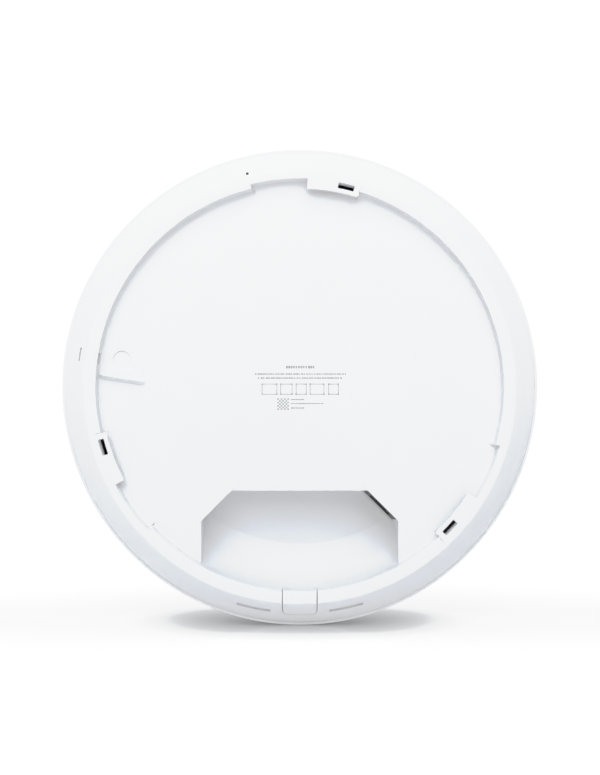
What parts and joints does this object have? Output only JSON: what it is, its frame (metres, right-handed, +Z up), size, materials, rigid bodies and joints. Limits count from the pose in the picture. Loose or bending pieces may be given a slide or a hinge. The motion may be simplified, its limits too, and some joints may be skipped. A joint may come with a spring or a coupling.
{
  "type": "ceiling wireless access point",
  "caption": "Round domed indoor wireless access point with a recessed bayonet back, a cable pocket with an RJ45 jack, a cable gate and a light ring, its board, fan and antennas inside",
  "frame": {"origin": "centre of the back rim's plane, which lies against the ceiling or wall when the bayonet bracket holds the unit", "axes": "+X right and +Z up seen from the back with the cable gate at the bottom, +Y from the mounting plane to the front dome's apex"},
  "size_m": [0.206, 0.046, 0.206],
  "materials": {
    "white_cover": "satin white moulded polycarbonate, finely spark-textured",
    "diffuser": "milky translucent light guide, satin",
    "black_plastic": "black glass-filled plastic, satin",
    "steel": "zinc-coated sheet, satin",
    "aluminium": "plain milled and pressed aluminium",
    "brass": "gold-flashed copper alloy sheet",
    "circuit_board": "dark blue solder mask",
    "lamp_board": "white solder mask",
    "chip": "moulded black epoxy",
    "thermal_pad": "soft silicone pad",
    "motor_winding": "enamelled copper winding"
  },
  "bodies": {
    "housing": {"rear_cover": "white_cover", "front_cover": "white_cover", "centre_cap": "white_cover", "light_ring": "diffuser", "ring_holder": "black_plastic", "jack_insert": "black_plastic", "reset_switch": "black_plastic", "fan_frame": "black_plastic", "jack_shell": "steel", "backing_plate": "steel", "shield_can_left": "steel", "shield_can_right": "steel", "shield_can_top": "steel", "spacer_1": "steel", "spacer_2": "steel", "spacer_3": "steel", "spacer_4": "steel", "reflector_screw_1": "steel", "reflector_screw_2": "steel", "reflector_screw_3": "steel", "reflector_screw_4": "steel", "board_screw_1": "steel", "board_screw_2": "steel", "board_screw_3": "steel", "board_screw_4": "steel", "fan_screw_1": "steel", "fan_screw_2": "steel", "heat_sink_screw_1": "steel", "heat_sink_screw_2": "steel", "reflector_plate": "aluminium", "heat_sink": "aluminium", "capacitor_a": "aluminium", "capacitor_b": "aluminium", "jack_contacts": "brass", "antenna_2g_left": "brass", "antenna_2g_right": "brass", "antenna_5g_left": "brass", "antenna_5g_right": "brass", "antenna_6g_left": "brass", "antenna_6g_right": "brass", "main_board": "circuit_board", "led_board": "lamp_board", "processor": "chip", "memory_chip": "chip", "flash_chip": "chip", "lan_transformer": "chip", "power_transformer": "chip", "inductor": "chip", "thermal_pad_middle": "thermal_pad", "thermal_pad_left": "thermal_pad", "thermal_pad_right": "thermal_pad", "fan_stator": "motor_winding"},
    "gate": {"cable_gate": "white_cover"},
    "reset": {"reset_button": "chip"},
    "rotor": {"fan_rotor": "black_plastic", "fan_shaft": "steel"}
  },
  "joints": [
    {"name": "gate_slide", "type": "slide", "parent": "housing", "child": "gate", "axis": [0, -1, 0], "range_m": [0, 0.005]},
    {"name": "reset_press", "type": "slide", "parent": "housing", "child": "reset", "axis": [0, 1, 0], "range_m": [0, 0.0004], "stiffness_N_per_m": 500},
    {"name": "fan_spin", "type": "hinge", "parent": "housing", "child": "rotor", "pos_m": [0, 0.0235, 0], "axis": [0, 1, 0], "continuous": true}
  ]
}
